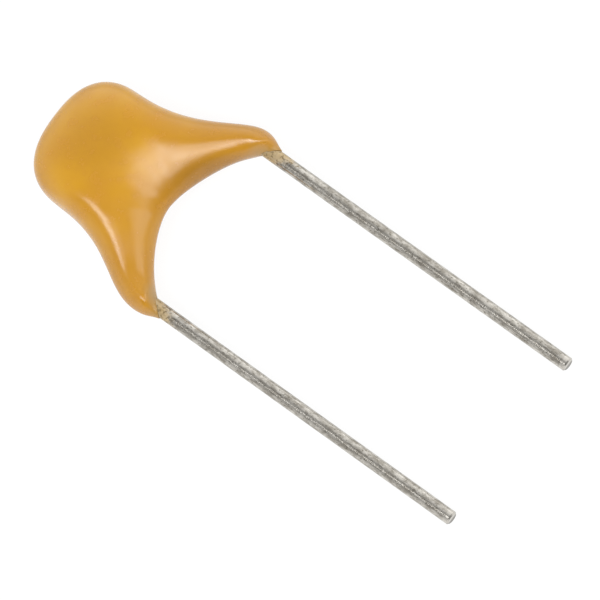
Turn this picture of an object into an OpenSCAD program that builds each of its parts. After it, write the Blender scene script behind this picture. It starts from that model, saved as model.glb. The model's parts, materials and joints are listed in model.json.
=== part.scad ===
// Dipped multilayer ceramic capacitor with two radial leads.
// A ceramic block with comb-like electrodes is soldered between two kinked wires, and the
// block and the kinks are dipped in epoxy. The part lies as it comes to rest, on the belly of
// the coating and on the two lead ends. X runs from lead to lead, the leads point to -Y and
// +Z is up. Each piece is drawn in a flat frame first, centred on the block with the wires in
// the plane z = 0, and at_rest() then tips it over onto the surface.

/* [Leads] */
// Distance between the two lead axes
lead_pitch = 5.08; // [4.8:0.02:6.2]
// Diameter of the tinned wire
lead_d = 0.4; // [0.35:0.01:0.55]
// Straight length of each lead below its kink
lead_length = 10.85; // [4:0.05:30]
// Height over which each lead swings out from the block to the pitch
kink_drop = 2.36; // [1.8:0.02:3]
// Straight stretch of lead between the block and the kink
kink_lead_in = 0.52; // [0.3:0.02:0.8]
// Bend radius of the wire, on its centre line
bend_r = 0.6; // [0.4:0.05:0.8]
// How far the wire stops short of the top of the block
lead_stop = 0.3; // [0.2:0.05:0.5]
// Bevel that the cutter leaves round each lead end
tip_bevel = 0.04; // [0.02:0.01:0.08]

/* [Ceramic block] */
// Length of the block from lead to lead, over its end caps
block_length = 2; // [1.6:0.05:2.4]
// Height of the block, along the leads
block_height = 1.25; // [0.8:0.05:1.6]
// Thickness of the block
block_thickness = 1; // [0.8:0.05:1.6]
// Thickness of the metal of the end caps
cap_thickness = 0.05; // [0.03:0.01:0.1]
// Width of the band that each end cap wraps round the block
cap_band = 0.4; // [0.25:0.05:0.55]

/* [Electrodes] */
// Number of electrode layers on each side
layers_per_side = 6; // [2:1:10]
// Thickness of one electrode layer
layer_thickness = 0.02; // [0.01:0.005:0.03]
// Ceramic left above the first layer and below the last
cover_thickness = 0.15; // [0.1:0.01:0.2]
// Ceramic left between a layer and the far end of the block
end_gap = 0.25; // [0.15:0.01:0.4]
// Ceramic left beside each layer
side_margin = 0.15; // [0.1:0.01:0.25]

/* [Solder] */
// Solder between the wire and the end cap
solder_film = 0.04; // [0.02:0.01:0.08]
// Half width of the solder fillet on the end cap
solder_reach = 0.46; // [0.35:0.01:0.5]
// End cap left bare above and below the fillet
solder_inset = 0.06; // [0:0.01:0.15]

/* [Epoxy coating] */
// Epoxy over the top of the block
coat_top = 0.45; // [0.3:0.01:0.7]
// Epoxy over the front and the back of the block
coat_face = 0.62; // [0.5:0.01:0.9]
// Epoxy outside the left lead, beside the block
coat_left = 0.45; // [0.25:0.01:0.55]
// Epoxy outside the right lead, beside the block
coat_right = 0.33; // [0.25:0.01:0.55]
// Epoxy outside the left wire, halfway down its slant
slant_left = 0.21; // [0.08:0.01:0.25]
// Epoxy outside the right wire, halfway down its slant
slant_right = 0.1; // [0.08:0.01:0.25]
// Epoxy outside each lead where the kink ends
coat_knee = 0.22; // [0.1:0.01:0.3]
// Epoxy over the front and the back of each kinked wire
coat_leg = 0.36; // [0.15:0.01:0.4]
// Depth of the web that hangs between the leads, below the block
web_depth = 2.34; // [1.6:0.01:2.6]
// Thickness of the web between the legs
web_thickness = 1.5; // [1:0.05:1.8]
// Distance from the block over which the bulge of the body fades out
bulge_fade = 3.25; // [2:0.05:3.5]
// Sideways offset of the highest point of the crotch
crotch_shift = -0.2; // [-0.3:0.01:0.3]
// Drop of the widest point of each leg below the end of its kink
knee_drop = 0.37; // [0.1:0.01:0.5]
// Run of the epoxy down the inside of the left lead, below its kink
run_left = 0.69; // [0.4:0.01:1]
// Run of the epoxy down the inside of the right lead, below its kink
run_right = 0.6; // [0.4:0.01:1]
// How much further the epoxy runs down the outside of each lead
run_slant = 0.42; // [0:0.01:0.5]
// Thickness of the epoxy where it ends on the wire
lip = 0.02; // [0.02:0.01:0.1]
// Fullness of the two shoulders, seen from the front, where 2 is an ellipse
shoulder_fullness = 2.45; // [2:0.05:3]
// Fullness of the body's edges, seen from the side
body_fullness = 2.55; // [2.2:0.05:3]
// Fullness of the web's edge at the crotch, seen from the side
web_fullness = 2; // [1.8:0.05:3]
// Fullness of each leg across its wire, where less than 2 gives the leg a ridge
leg_fullness = 1.65; // [1.5:0.05:2.2]

/* [Hidden] */
$fn = 48;

LEFT = -1;
RIGHT = 1;
lead_r = lead_d / 2;

// Where the wires run
seat_x = block_length / 2 + solder_film + lead_r;
foot_x = lead_pitch / 2;
lead_top = block_height / 2 - lead_stop;
kink_top = -block_height / 2 - kink_lead_in;
kink_foot = kink_top - kink_drop;
lead_end = kink_foot - lead_length;
kink_angle = atan((foot_x - seat_x) / kink_drop);
bend_start = bend_r * tan(kink_angle / 2);
bend_overlap = 2; // degrees that a bend runs on inside the straight stretches
bend_step = 0.003; // a bend is this much slimmer, so that no two surfaces coincide
free_top = kink_foot - max(run_left, run_right) - run_slant;

// The ceramic inside its end caps
ceramic_length = block_length - 2 * cap_thickness;
ceramic_height = block_height - 2 * cap_thickness;
ceramic_thickness = block_thickness - 2 * cap_thickness;
layer_count = 2 * layers_per_side;
layer_step = (ceramic_thickness - 2 * cover_thickness - layer_thickness) / (layer_count - 1);

// The outline of the coating. Stations run from the middle of the body down one leg.
shoulder_stations = 14;
flank_stations = 16;
foot_stations = 6;
taper_stations = 4; // the last stations, over which the coating thins to its lip
stations = shoulder_stations + flank_stations + foot_stations;
ring_points = 40;
body_top = block_height / 2 + coat_top;
flank_foot = -block_height * 0.36;
crotch = -block_height / 2 - web_depth;
body_half = block_thickness / 2 + coat_face;
leg_half = lead_r + coat_leg;
web_half = web_thickness / 2;
lip_r = lead_r + lip;
knee_y = kink_foot - knee_drop;
web_spread = 1.25; // how far round the body the web's edge reaches
leg_ridge = 0.66; // the ridge of a leg, as a share of the way from its inner to its outer side

// How the bulge of the body starts to fall away beside the block, and how it dies out
bulge_start = 2.05;
bulge_end = 1.9;

// Lengths of the handles of the outline's curves: shares of the drop for the foot, and
// millimetres for the arch
foot_arms = [0.5, 0.35];
arch_arms = [0.68, 0.43, 0.56];
arch_crowding = 1.8; // crowds the stations towards the crotch, where the arch is round

function mix(a, b, t) = a + (b - a) * t;
function clamp01(t) = max(0, min(1, t));
function ease(t) = let(c = clamp01(t)) c * c * (3 - 2 * c);
function bezier(a, b, c, d, t) =
    let(s = 1 - t) s * s * s * a + 3 * s * s * t * b + 3 * s * t * t * c + t * t * t * d;

function coat_beside(side) = side == LEFT ? coat_left : coat_right;
function coat_slant(side) = side == LEFT ? slant_left : slant_right;
function run(side) = side == LEFT ? run_left : run_right;
function flank_x(side) = seat_x + lead_r + coat_beside(side);

// Outer side of the coating: a rounded shoulder, a flank that follows the kink, and a foot
// that draws in to the wire.
function shoulder_point(side, t) =
    let(a = 90 * t, e = 2 / shoulder_fullness)
    [flank_x(side) * pow(sin(a), e), flank_foot + (body_top - flank_foot) * pow(cos(a), e)];
function knee_point() = [foot_x + lead_r + coat_knee, knee_y];

// Arms of the flank's curve. Between them its middle runs parallel to the slant of the wire,
// coat_slant outside it.
function flank_arms(side) =
    let(a = [flank_x(side), flank_foot], b = knee_point(), middle = (a + b) / 2,
        slope = (foot_x - seat_x) / kink_drop,
        wire_edge = seat_x + lead_r / cos(kink_angle),
        middle_y = kink_top - (middle[0] - wire_edge - coat_slant(side)) / slope,
        both = 2 * (a[1] - b[1] - (b[0] - a[0]) / slope),
        difference = (middle_y - middle[1]) * 8 / 3)
    [both - difference, both + difference] / 2;
function flank_point(side, t) =
    let(a = [flank_x(side), flank_foot], b = knee_point(), arms = flank_arms(side))
    bezier(a, a - [0, arms[0]], b + [0, arms[1]], b, t);
function outer_exit(side) = [foot_x + lip_r, kink_foot - run(side) - run_slant];
function foot_point(side, t) =
    let(a = knee_point(), b = outer_exit(side), drop = a[1] - b[1])
    bezier(a, a - [0, foot_arms[0] * drop], b + [coat_knee / 4, foot_arms[1] * drop], b, t);
function outer_point(side, i) =
    i <= shoulder_stations ? shoulder_point(side, i / shoulder_stations)
    : i <= shoulder_stations + flank_stations
        ? flank_point(side, (i - shoulder_stations) / flank_stations)
        : foot_point(side, (i - shoulder_stations - flank_stations) / foot_stations);

// Inner side of the coating: half of the arch between the leads.
function inner_exit(side) = [foot_x - lip_r, kink_foot - run(side)];
function inner_point(side, i) =
    let(a = [side * crotch_shift, crotch], b = inner_exit(side), t = pow(i / stations, arch_crowding))
    bezier(a, a + [arch_arms[0], 0], b + [-arch_arms[1], arch_arms[2]], b, t);

// Half thickness of the coating over a point of the plan, falling away from the block to the
// web and the legs.
function beyond(v, half) = max(0, abs(v) - half);
function half_thickness(p, w) =
    let(off = norm([beyond(p[0], block_length / 2), beyond(p[1], block_height / 2)]))
    mix(mix(leg_half, web_half, w), body_half,
        pow(1 - pow(clamp01(off / bulge_fade), bulge_start), bulge_end));

// One closed section across the coating, from its crotch side to its outer side. Its highest
// line lies in the middle of the body and moves over to the wire on the legs.
function section(side, i) =
    let(a = inner_point(side, i), b = outer_point(side, i), w = ease(web_spread * (1 - i / stations)),
        to_exit = ease((stations - i) / taper_stations), ridge = mix(leg_ridge, 0.5, w))
    [for (k = [0:ring_points - 1])
        let(m = (1 - cos(360 * k / ring_points)) / 2,
            c = m < ridge ? m / ridge - 1 : (m - ridge) / (1 - ridge),
            p = mix(a, b, m), n = mix(leg_fullness, c < 0 ? web_fullness : body_fullness, w),
            lift = pow(max(0, 1 - pow(abs(c), n)), 1 / n),
            h = mix(lip_r, half_thickness(p, w), to_exit))
        [side * p[0], p[1], (k < ring_points / 2 ? 1 : -1) * lift * h]];

sections = concat(
    [for (i = [stations:-1:1]) section(LEFT, i)],
    [for (i = [0:stations]) section(RIGHT, i)]);
skin_points = [for (s = sections) for (p = s) p];

// How far the part tips over before the coating and the lead ends both touch the surface,
// found from a first guess in a few rounds
function coat_low(t) = min([for (p = skin_points) p[1] * sin(t) + p[2] * cos(t)]);
function lead_low(t) = (lead_end + tip_bevel) * sin(t) - lead_r * cos(t);
function settle(t, rounds) =
    rounds == 0 ? t : settle(t + (lead_low(t) - coat_low(t)) / -lead_end * 180 / PI, rounds - 1);
tilt = settle(4, rounds = 4);
rear_y = max([for (p = skin_points) p[1] * cos(tilt) - p[2] * sin(tilt)]);
front_y = lead_end * cos(tilt) - (lead_r - tip_bevel) * sin(tilt);

module at_rest() {
    translate([0, -(rear_y + front_y) / 2, -lead_low(tilt)]) rotate([tilt, 0, 0]) children();
}

module on_side(side) {
    mirror([side == LEFT ? 1 : 0, 0, 0]) children();
}

module skin() {
    rings = len(sections);
    function at(s, k) = s * ring_points + k % ring_points;
    polyhedron(points = skin_points, faces = concat(
        [[for (k = [ring_points - 1:-1:0]) at(0, k)]],
        [for (s = [0:rings - 2]) for (k = [0:ring_points - 1]) [at(s, k), at(s, k + 1), at(s + 1, k)]],
        [for (s = [0:rings - 2]) for (k = [0:ring_points - 1])
            [at(s + 1, k), at(s, k + 1), at(s + 1, k + 1)]],
        [[for (k = [0:ring_points - 1]) at(rings - 1, k)]]));
}

// A bend of the wire round the origin. It is a hair slimmer than the wire, and its ends run a
// little way inside the straight stretches that it joins.
module wire_bend() {
    rotate([0, 0, -bend_overlap]) rotate_extrude(angle = kink_angle + 2 * bend_overlap)
        translate([bend_r, 0]) circle(lead_r - bend_step);
}

// The straight part of a lead, turned about its own axis: the cut end and its bevel, the free
// length, and the stretch in the epoxy, which eases in by a hair towards the bend
module straight_lead() {
    translate([foot_x, 0, 0]) rotate([-90, 0, 0]) rotate_extrude() polygon([
        [0, lead_end],
        [lead_r - tip_bevel, lead_end],
        [lead_r, lead_end + tip_bevel],
        [lead_r, free_top],
        [lead_r - bend_step / 2, kink_foot - bend_start],
        [0, kink_foot - bend_start]]);
}

// A wire from the block to its cut end, drawn on the right
module wire() {
    translate([seat_x, kink_top + bend_start, 0]) rotate([-90, 0, 0])
        cylinder(r = lead_r, h = lead_top - kink_top - bend_start);
    translate([seat_x + bend_r, kink_top + bend_start, 0]) rotate([0, 0, 180]) wire_bend();
    translate([seat_x, kink_top, 0]) rotate([0, 0, kink_angle]) rotate([90, 0, 0])
        translate([0, 0, bend_start])
        cylinder(r = lead_r, h = kink_drop / cos(kink_angle) - 2 * bend_start);
    translate([foot_x - bend_r, kink_foot - bend_start, 0]) wire_bend();
    straight_lead();
}

// The solder's outline across the wire, with a hollow fillet on each side of it. The fillet
// ends inside the wire, just short of its widest point.
module solder_blank() {
    face_x = block_length / 2;
    hollow = 1.6;
    wet_angle = 65;
    wire_point = [seat_x, 0] + 0.98 * lead_r * [-cos(wet_angle), sin(wet_angle)];
    curve = [for (t = [0:0.2:1]) [
        mix(face_x, wire_point[0], pow(t, hollow)),
        mix(solder_reach, wire_point[1], 1 - pow(1 - t, hollow))]];
    translate([0, -block_height / 2 + solder_inset, 0]) rotate([90, 0, 0]) mirror([0, 0, 1])
        linear_extrude(block_height - 2 * solder_inset)
        polygon(concat(curve, [for (i = [len(curve) - 1:-1:0]) [curve[i][0], -curve[i][1]]]));
}

module block() {
    cube([block_length, block_height, block_thickness], center = true);
}

module ceramic() {
    cube([ceramic_length, ceramic_height, ceramic_thickness], center = true);
}

// The electrode layers that join the cap on one side, as a stack of thin plates
module plates(side) {
    length = ceramic_length - end_gap;
    for (i = [0:layers_per_side - 1]) {
        z = -ceramic_thickness / 2 + cover_thickness + (2 * i + (side == LEFT ? 0 : 1)) * layer_step;
        translate([side == LEFT ? -ceramic_length / 2 : ceramic_length / 2 - length,
            -ceramic_height / 2 + side_margin, z])
            cube([length, ceramic_height - 2 * side_margin, layer_thickness]);
    }
}

module coating() {
    color("goldenrod") at_rest() difference() {
        skin();
        block();
        for (side = [LEFT, RIGHT]) {
            on_side(side) solder_blank();
            on_side(side) wire();
        }
    }
}

module dielectric() {
    color("tan") at_rest() difference() {
        ceramic();
        plates(LEFT);
        plates(RIGHT);
    }
}

module electrodes(side) {
    color("dimgray") at_rest() plates(side);
}

module termination(side) {
    color("silver") at_rest() on_side(side) difference() {
        translate([block_length / 2 - cap_band, -block_height / 2, -block_thickness / 2])
            cube([cap_band, block_height, block_thickness]);
        ceramic();
    }
}

module solder(side) {
    color("lightgray") at_rest() on_side(side) difference() {
        solder_blank();
        wire();
    }
}

module lead(side) {
    color("darkgray") at_rest() on_side(side) wire();
}

coating();
dielectric();
electrodes(LEFT);  // electrodes_left
electrodes(RIGHT);  // electrodes_right
termination(LEFT);  // termination_left
termination(RIGHT);  // termination_right
solder(LEFT);  // solder_left
solder(RIGHT);  // solder_right
lead(LEFT);  // lead_left
lead(RIGHT);  // lead_right
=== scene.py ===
"""A dipped multilayer ceramic capacitor, lying on a white studio sweep.

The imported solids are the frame. The epoxy coating is remade from its solid as one smooth skin,
the two tinned leads get their drawn surface, and the pieces sealed inside keep their solids.
"""

import json
import math

import bmesh
import bpy
from mathutils import Matrix, Vector


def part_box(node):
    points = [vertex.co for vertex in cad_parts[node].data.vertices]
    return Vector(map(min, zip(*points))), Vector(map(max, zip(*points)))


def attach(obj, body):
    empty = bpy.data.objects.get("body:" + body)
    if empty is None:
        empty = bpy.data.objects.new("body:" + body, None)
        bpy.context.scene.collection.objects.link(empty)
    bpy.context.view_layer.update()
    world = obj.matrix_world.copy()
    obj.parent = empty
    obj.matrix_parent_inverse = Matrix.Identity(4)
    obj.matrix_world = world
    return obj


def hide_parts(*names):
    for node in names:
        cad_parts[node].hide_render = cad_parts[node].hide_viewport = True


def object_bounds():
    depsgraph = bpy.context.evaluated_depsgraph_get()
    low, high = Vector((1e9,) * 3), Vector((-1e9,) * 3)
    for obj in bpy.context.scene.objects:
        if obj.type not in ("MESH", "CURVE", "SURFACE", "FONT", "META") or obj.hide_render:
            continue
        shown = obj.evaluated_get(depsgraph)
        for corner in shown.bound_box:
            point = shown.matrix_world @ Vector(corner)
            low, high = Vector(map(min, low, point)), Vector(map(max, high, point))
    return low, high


MM = 0.001

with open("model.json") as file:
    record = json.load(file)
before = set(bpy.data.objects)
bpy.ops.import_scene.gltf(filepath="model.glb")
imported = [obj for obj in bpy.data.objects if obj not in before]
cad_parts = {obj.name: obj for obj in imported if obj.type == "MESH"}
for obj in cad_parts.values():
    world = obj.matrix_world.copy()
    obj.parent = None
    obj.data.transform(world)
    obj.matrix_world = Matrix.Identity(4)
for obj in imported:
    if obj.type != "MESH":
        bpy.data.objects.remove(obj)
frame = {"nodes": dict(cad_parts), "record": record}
cad_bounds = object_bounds()
nodes = frame["nodes"]
centre = (cad_bounds[0] + cad_bounds[1]) / 2

# The leads are alike on both sides of the part's middle, so one of them gives all the measures.
pin = frame["record"]["mounts"][0]
lead_way = Vector(pin["axis"]).normalized()
lead_length = pin["dims"]["length_mm"] * MM
wire_radius = pin["dims"]["r_mm"] * MM
wire_middle = abs(pin["pos_m"][0])
lead_top = Vector(pin["pos_m"]) - lead_way * lead_length / 2
tip_height = pin["pos_m"][2] + pin["axis"][2] * lead_length / 2


def linear(hex_colour):
    """An sRGB hex colour as linear RGBA."""
    parts = [int(hex_colour[i : i + 2], 16) / 255 for i in (1, 3, 5)]
    return [*(c / 12.92 if c <= 0.04045 else ((c + 0.055) / 1.055) ** 2.4 for c in parts), 1]


def direction(azimuth, height):
    """The way to something at that azimuth and height in degrees. Azimuth 0 is -Y, 90 is +X."""
    a, h = math.radians(azimuth), math.radians(height)
    return Vector((math.sin(a) * math.cos(h), -math.cos(a) * math.cos(h), math.sin(h)))


# ---------------------------------------------------------------- camera

VIEW_AZIMUTH = -14
VIEW_HEIGHT = 68.4
VIEW_ROLL = math.radians(-39.8)
FRAME_WIDTH = 15.86 * MM
AIM_RIGHT = 0.302 * MM
AIM_UP = -0.359 * MM
LENS = 1000
SENSOR = 36


def add_camera():
    """A long lens above the part, turned so that the leads point down and to the right."""
    back = direction(VIEW_AZIMUTH, VIEW_HEIGHT)
    upright = (Vector((0, 0, 1)) - back * back.z).normalized()
    level = upright.cross(back)
    right = level * math.cos(VIEW_ROLL) + upright * math.sin(VIEW_ROLL)
    up = upright * math.cos(VIEW_ROLL) - level * math.sin(VIEW_ROLL)
    aim = right * AIM_RIGHT + up * AIM_UP
    data = bpy.data.cameras.new("camera")
    data.lens = LENS
    data.sensor_width = SENSOR
    distance = FRAME_WIDTH * LENS / SENSOR
    data.clip_start = distance / 100
    data.clip_end = distance * 20
    camera = bpy.data.objects.new("camera", data)
    bpy.context.scene.collection.objects.link(camera)
    turned = Matrix((right, up, back)).transposed().to_4x4()
    camera.matrix_world = Matrix.Translation(aim + back * distance) @ turned
    bpy.context.scene.camera = camera


# ---------------------------------------------------------------- material tools

ADD = {"operation": "ADD"}
SUBTRACT = {"operation": "SUBTRACT"}
MULTIPLY = {"operation": "MULTIPLY"}
SOFT_ENDS = {"interpolation_type": "SMOOTHSTEP"}
COLOURS = {"data_type": "RGBA"}


def feed(tree, target, *values, **named):
    """Fills a node's inputs: the first ones in order, and others by name, with underscores for
    spaces. Each gets a value, a socket or another node."""
    for key, value in [*enumerate(values), *named.items()]:
        socket = target.inputs[key if isinstance(key, int) else key.replace("_", " ")]
        if isinstance(value, bpy.types.Node):
            value = next(output for output in value.outputs if output.enabled)
        if isinstance(value, bpy.types.NodeSocket):
            tree.links.new(value, socket)
        else:
            socket.default_value = value


def node(tree, kind, settings, *values, **named):
    """Adds a node. settings are its properties, and the rest are its inputs."""
    made = tree.nodes.new("ShaderNode" + kind)
    for key, value in settings.items():
        setattr(made, key, value)
    feed(tree, made, *values, **named)
    return made


def new_material(name, **constants):
    """A material with one Principled shader, whose constant values are set on its sockets."""
    material = bpy.data.materials.new(name)
    material.use_nodes = True
    tree = material.node_tree
    shader = tree.nodes["Principled BSDF"]
    feed(tree, shader, **constants)
    place = node(tree, "TexCoord", {}).outputs["Object"]
    return material, tree, shader, place


def mottle(tree, place, size_mm, detail=2, roughness=0.5, stretch=1):
    """Soft blotches about size_mm across, and stretch times as long down the leads."""
    drawn_out = node(tree, "Mapping", {}, place, Scale=(1, 1 / stretch, 1))
    per_metre = 1 / (size_mm * MM)
    return node(
        tree, "TexNoise", {}, drawn_out, Scale=per_metre, Detail=detail, Roughness=roughness
    )


def layered(tree, ground, *layers):
    """Lays colours over a ground colour. Each layer is a hex value and its share from 0 to 1."""
    colour = linear(ground)
    for over, share in layers:
        colour = node(tree, "Mix", COLOURS, share, A=colour, B=linear(over))
    return colour


# ---------------------------------------------------------------- materials

# The arch between the legs: its crown, measured down the leads from where the coating ends, and
# the band above the arch, and the stretch across it, over which the painted shade comes in.
ARCH_CROWN = -1.6 * MM
ARCH_BAND = ARCH_CROWN - 0.7 * MM, ARCH_CROWN - 0.2 * MM
ARCH_ACROSS = -0.9 * MM, 1.2 * MM

# Painted shade round the middle of the block's lower edge; where the coating thins: down the legs,
# at the lip.
PAINTED_SHADE_BELOW_BLOCK = 0.3 * MM, 1.5 * MM
LEGS = -3.2 * MM, -1.6 * MM
LIP = -0.45 * MM, 0.02 * MM

# On the leads: the band the shears smear, the cut end, and the heights where that end darkens
# below.
SMEARED = lead_length - 0.16 * MM, lead_length - 0.1 * MM
CUT_END = lead_length - 0.03 * MM, lead_length - 0.01 * MM
CUT_END_LOW_SIDE = tip_height + 0.08 * MM, tip_height - 0.06 * MM

# Past the lip: where the film of epoxy runs out, how ragged its edge is, and where its flecks end.
FILM = 0.1 * MM, 0.65 * MM
RAGGED = -0.18 * MM, 0.18 * MM
FLECKS = 0.3 * MM, 1.0 * MM

# The middle range of a mottle, over which a roughness goes from its least to its most.
MIDDLE = 0.3, 0.7


def down_the_lead(tree, place):
    """Distance down the leads from where the coating ends, positive towards their tips."""
    along = node(tree, "VectorMath", {"operation": "DOT_PRODUCT"}, place, lead_way)
    return node(tree, "Math", SUBTRACT, along.outputs["Value"], lead_top.dot(lead_way))


def past_the_lip(tree, place):
    """Distance past the slanted lip of the coating, which ends higher on the inner side of each
    wire by about the wire's own thickness."""
    across = node(tree, "SeparateXYZ", {}, place).outputs["X"]
    outward = node(tree, "Math", {"operation": "ABSOLUTE"}, across)
    inside, outside = wire_middle - 1.2 * wire_radius, wire_middle + 1.2 * wire_radius
    slant = node(tree, "MapRange", SOFT_ENDS, outward, inside, outside, 2 * wire_radius, 0)
    return node(tree, "Math", ADD, down_the_lead(tree, place), slant)


def painted_shade_by_arch(tree, place):
    """Share of the painted shade in a band along the arch, mostly to the right. The
    arch is a parabola from the inner side of one wire to that of the other."""
    across = node(tree, "SeparateXYZ", {}, place).outputs["X"]
    squared = node(tree, "Math", MULTIPLY, across, across)
    bow = node(tree, "Math", MULTIPLY, squared, ARCH_CROWN / (wire_middle - wire_radius) ** 2)
    above = node(tree, "Math", ADD, down_the_lead(tree, place), bow)
    band = node(tree, "MapRange", SOFT_ENDS, above, *ARCH_BAND, 0, 0.95)
    rightward = node(tree, "MapRange", SOFT_ENDS, across, *ARCH_ACROSS, 0.1, 1)
    return node(tree, "Math", MULTIPLY, band, rightward)


def from_the_block_edge(tree, place):
    """Distance, seen from above, from the middle of the ceramic block's lower edge."""
    low_block, high_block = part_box("dielectric")
    edge = ((low_block[0] + high_block[0]) / 2, low_block[1], 0)
    flat = node(tree, "VectorMath", MULTIPLY, place, (1, 1, 0))
    return node(tree, "VectorMath", {"operation": "DISTANCE"}, flat, edge).outputs["Value"]


def epoxy():
    """Epoxy, dipped and cured over the block and the wires: an opaque golden ochre with a soft
    gloss. The pigment settles in faint clouds, and the skin has a slight orange peel. The coat is
    thinner and a shade browner on the wires, and most of all where its film runs out. Painted
    shade darkens it round the block's lower edge and beside the arch, mostly to the right."""
    material, tree, shader, place = new_material("epoxy_dip_coat", IOR=1.55)
    clouds = mottle(tree, place, size_mm=1.6, detail=1)
    patches = mottle(tree, place, size_mm=0.35, detail=3, roughness=0.6)
    colour = layered(
        tree,
        "#AD7A0B",
        ("#B6840E", node(tree, "MapRange", SOFT_ENDS, clouds, 0.35, 0.65)),
        ("#AE760E", node(tree, "MapRange", SOFT_ENDS, patches, 0.42, 0.72, 0, 0.4)),
        # Painted shade: a browner tone round the middle of the block's lower edge.
        (
            "#9C6B0A",
            node(
                tree, "MapRange", SOFT_ENDS, from_the_block_edge(tree, place), *PAINTED_SHADE_BELOW_BLOCK, 0.55, 0
            ),
        ),
        ("#A2701A", node(tree, "MapRange", SOFT_ENDS, down_the_lead(tree, place), *LEGS, 0, 0.5)),
        # Painted shade: a dark band along the arch, mostly to the right.
        ("#8F6210", painted_shade_by_arch(tree, place)),
        ("#947846", node(tree, "MapRange", SOFT_ENDS, past_the_lip(tree, place), *LIP, 0, 0.8)),
    )
    peel = mottle(tree, place, size_mm=0.45, detail=1)
    # Pigment grains of about 0.01 mm are too fine to show, so they are drawn 0.06 mm wide.
    grit = mottle(tree, place, size_mm=0.06, detail=1)
    skin = node(tree, "Math", ADD, peel, node(tree, "Math", MULTIPLY, grit, 0.05))
    feed(
        tree,
        shader,
        Base_Color=colour,
        Roughness=node(tree, "MapRange", SOFT_ENDS, patches, *MIDDLE, 0.22, 0.28),
        Normal=node(tree, "Bump", {}, Height=skin, Distance=0.004 * MM, Strength=1.0),
    )
    return material


def tin():
    """Tin, plated on drawn copper-clad steel wire: satin grey, with fine streaks along the wire,
    small dull patches and pits from handling. A thin amber film of epoxy with brown flecks runs
    out past the coating; the shears leave a smeared band, and the cut tips are darker below."""
    material, tree, shader, place = new_material("tin_plated_wire")
    # Drawing lines of a few thousandths of a millimetre are too fine to show, so they are drawn
    # 0.06 mm wide, and the pits 0.045 mm wide.
    streaks = mottle(tree, place, size_mm=0.06, detail=3, roughness=0.6, stretch=5)
    pits = mottle(tree, place, size_mm=0.045, detail=1, stretch=1.5)
    patches = mottle(tree, place, size_mm=0.16, detail=3, roughness=0.65, stretch=2)
    flecks = mottle(tree, place, size_mm=0.08, roughness=0.6)
    down = down_the_lead(tree, place)
    height = node(tree, "SeparateXYZ", {}, place).outputs["Z"]
    cut_end = node(tree, "MapRange", SOFT_ENDS, down, *CUT_END)
    low_half = node(tree, "MapRange", SOFT_ENDS, height, *CUT_END_LOW_SIDE, 0, 0.85)
    ragged = node(tree, "MapRange", SOFT_ENDS, patches, 0.25, 0.75, *RAGGED)
    past_lip = node(tree, "Math", ADD, past_the_lip(tree, place), ragged)
    film = node(tree, "MapRange", SOFT_ENDS, past_lip, *FILM, 1, 0)
    flecked = node(tree, "MapRange", SOFT_ENDS, past_lip, *FLECKS, 0.8, 0)
    fleck = node(tree, "MapRange", SOFT_ENDS, flecks, 0.53, 0.64)
    colour = layered(
        tree,
        "#CBC7BF",
        ("#9C978E", node(tree, "MapRange", SOFT_ENDS, patches, 0.36, 0.66)),
        ("#857F75", node(tree, "MapRange", SOFT_ENDS, streaks, 0.48, 0.7, 0, 0.7)),
        ("#716C62", node(tree, "MapRange", SOFT_ENDS, pits, 0.58, 0.7, 0, 0.7)),
        ("#CFCBC3", node(tree, "MapRange", SOFT_ENDS, down, *SMEARED, 0, 0.8)),
        # The cut end, darker towards its low side.
        ("#5F5B53", node(tree, "Math", MULTIPLY, cut_end, low_half)),
        ("#A68C5A", node(tree, "Math", MULTIPLY, film, 0.8)),
        ("#6F5D3C", node(tree, "Math", MULTIPLY, flecked, fleck)),
    )
    skin = node(tree, "Math", ADD, patches, node(tree, "Math", MULTIPLY, streaks, 0.5))
    feed(
        tree,
        shader,
        Base_Color=colour,
        Metallic=node(tree, "MapRange", SOFT_ENDS, film, 0.1, 0.9, 1, 0.3),
        Roughness=node(tree, "MapRange", SOFT_ENDS, patches, *MIDDLE, 0.18, 0.26),
        Normal=node(tree, "Bump", {}, Height=skin, Distance=0.003 * MM, Strength=1.0),
    )
    return material


def grained(name, dark, light, grain_mm, roughness, relief_mm, **constants):
    """A dull material whose tone, gloss and height all follow its grain. roughness is its least
    and its most. Grains of a few thousandths of a millimetre are too fine to show, so they are
    drawn grain_mm wide."""
    material, tree, shader, place = new_material(name, **constants)
    grain = mottle(tree, place, size_mm=grain_mm)
    feed(
        tree,
        shader,
        Base_Color=layered(tree, dark, (light, grain)),
        Roughness=node(tree, "MapRange", SOFT_ENDS, grain, *MIDDLE, *roughness),
        Normal=node(tree, "Bump", {}, Height=grain, Distance=relief_mm * MM, Strength=1.0),
    )
    return material


# ---------------------------------------------------------------- pieces

SAME_POINT = 0.0005 * MM


def skin_of(cad_node, name):
    """The solid's surface as one smooth skin."""
    mesh = cad_node.data.copy()
    mesh.name = name
    bm = bmesh.new()
    bm.from_mesh(mesh)
    bmesh.ops.remove_doubles(bm, verts=bm.verts, dist=SAME_POINT)
    bmesh.ops.join_triangles(
        bm,
        faces=bm.faces,
        angle_face_threshold=math.radians(30),
        angle_shape_threshold=math.radians(60),
    )
    for face in bm.faces:
        face.smooth = True
    bm.to_mesh(mesh)
    bm.free()
    piece = bpy.data.objects.new(name, mesh)
    bpy.context.scene.collection.objects.link(piece)
    smooth = piece.modifiers.new("smooth", "SUBSURF")
    smooth.levels = smooth.render_levels = 1
    return piece


def finish_with(piece, material):
    """Gives a piece its only material."""
    slots = piece.data.materials
    slots.clear()
    slots.append(material)


coating = skin_of(nodes["coating"], "coating_skin")
finish_with(coating, epoxy())
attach(coating, "root")
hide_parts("coating")

# Barium titanate, pressed and fired: matt tan with a fine grain.
ceramic = grained(
    "fired_barium_titanate", "#A8845C", "#BF9C70", 0.03, (0.6, 0.75), relief_mm=0.002, IOR=1.6
)
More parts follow.
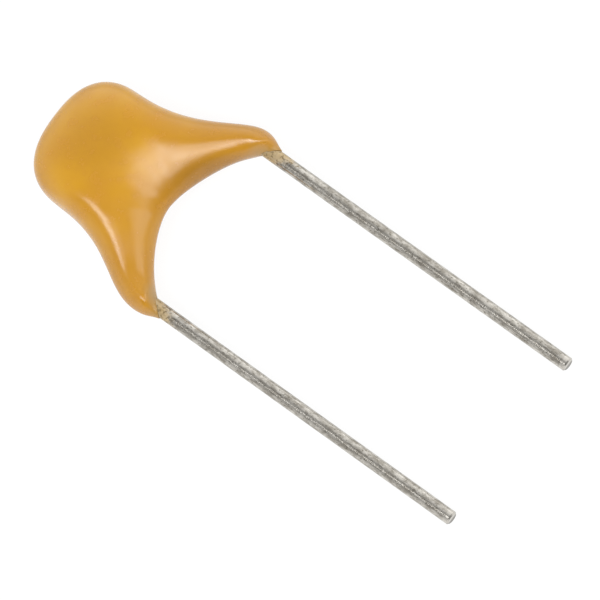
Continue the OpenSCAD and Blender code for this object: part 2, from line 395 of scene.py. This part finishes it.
# Nickel paste, printed and fired with the ceramic: dull dark grey.
nickel = grained(
    "sintered_nickel", "#6E6C68", "#84827D", 0.02, (0.44, 0.56), relief_mm=0.001, Metallic=1.0
)
# Copper, fired on and plated with matt tin: pale grey with no shine.
end_cap = grained(
    "tin_over_fired_copper", "#B4B3B0", "#CBCAC7", 0.05, (0.34, 0.46), 0.0025, Metallic=1.0
)
# Solder, frozen from the melt: paler and shinier, with coarser grains.
joint = grained("tin_solder", "#B9BABC", "#D2D3D4", 0.12, (0.24, 0.36), 0.006, Metallic=1.0)
wire = tin()
finish_with(nodes["dielectric"], ceramic)
for side in ("left", "right"):
    finish_with(nodes["lead_" + side], wire)
    finish_with(nodes["solder_" + side], joint)
    finish_with(nodes["termination_" + side], end_cap)
    finish_with(nodes["electrodes_" + side], nickel)


# ---------------------------------------------------------------- studio

FLOOR_REACH = 600 * MM
FLOOR_GLOW = 0.9
LAMP_DISTANCE = 600 * MM
WHITE = (1, 1, 1, 1)


def add_floor():
    """A white sweep. The camera and glossy surfaces see it as white, darkened a little by the
    object's shadow, and from below it is clear."""
    bm = bmesh.new()
    bmesh.ops.create_grid(bm, x_segments=1, y_segments=1, size=FLOOR_REACH)
    mesh = bpy.data.meshes.new("floor")
    bm.to_mesh(mesh)
    bm.free()
    floor = bpy.data.objects.new("floor", mesh)
    bpy.context.scene.collection.objects.link(floor)
    material, tree, shader, _ = new_material(
        "white_sweep", Base_Color=WHITE, Roughness=0.9, Specular_IOR_Level=0.0
    )
    path = node(tree, "LightPath", {}).outputs
    seen = node(
        tree, "Math", {"operation": "MAXIMUM"}, path["Is Camera Ray"], path["Is Glossy Ray"]
    )
    share = node(tree, "Math", MULTIPLY, seen, FLOOR_GLOW)
    glow = node(tree, "Emission", {}, Color=WHITE, Strength=1.0)
    lit = node(tree, "MixShader", {}, share, shader, glow)
    below = node(tree, "NewGeometry", {}).outputs["Backfacing"]
    clear = node(tree, "BsdfTransparent", {})
    both = node(tree, "MixShader", {}, below, lit, clear)
    feed(tree, tree.nodes["Material Output"], Surface=both)
    mesh.materials.append(material)


def add_panel(name, start, end, depth, level):
    """A long soft box far outside the frame that faces the part. start and end are the azimuth
    and height of the middles of its two short sides, depth is how wide it looks in degrees, and
    level is its brightness, where 1 is white paper."""
    start, end = direction(*start), direction(*end)
    back = (start + end).normalized()
    along = (end - start).normalized()
    data = bpy.data.lights.new(name, "AREA")
    data.shape = "RECTANGLE"
    data.size = 2 * LAMP_DISTANCE * math.tan(start.angle(end) / 2)
    data.size_y = 2 * LAMP_DISTANCE * math.tan(math.radians(depth / 2))
    data.energy = level * math.pi * data.size * data.size_y
    lamp = bpy.data.objects.new(name, data)
    bpy.context.scene.collection.objects.link(lamp)
    turned = Matrix((along, back.cross(along), back)).transposed().to_4x4()
    lamp.matrix_world = Matrix.Translation(centre + back * LAMP_DISTANCE) @ turned


def add_world(left, right, horizon, front, rear):
    """A grey room: dim to the left, bright to the right, a little lighter near the horizon.
    front dims the part of it in front of the part, and rear lights the part behind it, most of
    all low down. The ranges are sines of the angle to the right, up and to the back."""
    world = bpy.data.worlds.new("studio")
    bpy.context.scene.world = world
    world.use_nodes = True
    tree = world.node_tree
    way = node(tree, "SeparateXYZ", {}, node(tree, "TexCoord", {}).outputs["Generated"]).outputs
    across = node(tree, "MapRange", SOFT_ENDS, way["X"], -0.1, 0.6, left, right)
    low_down = node(tree, "MapRange", SOFT_ENDS, way["Z"], 0.75, 0.15, 0, horizon)
    to_front = node(tree, "MapRange", SOFT_ENDS, way["Y"], 0.1, -0.6, 1, front)
    to_back = node(tree, "MapRange", SOFT_ENDS, way["Y"], 0, 0.8, 0, rear)
    not_above = node(tree, "MapRange", SOFT_ENDS, way["Z"], 1.1, 0.6)
    sides = node(tree, "Math", ADD, across, low_down)
    room = node(tree, "Math", MULTIPLY, sides, to_front)
    behind = node(tree, "Math", MULTIPLY, to_back, not_above)
    brightness = node(tree, "Math", ADD, room, behind)
    feed(tree, tree.nodes["Background"], Color=WHITE, Strength=brightness)


add_camera()
add_floor()
add_world(left=0.38, right=1.0, horizon=0.36, front=0.34, rear=0.6)
add_panel("key_front", start=(18, 31), end=(-30, 60), depth=27, level=3.55)
add_panel("key_top", start=(-24, 62), end=(-24, 78), depth=16, level=1.7)
add_panel("key_left", start=(-24, 33), end=(-80, 69), depth=19, level=5.3)
add_panel("strip_left", start=(-74, 72), end=(-95, 56), depth=12, level=10.5)
add_panel("fill_right", start=(40, 36), end=(54, 7), depth=29, level=2.0)
bpy.context.scene.view_settings.view_transform = "Standard"
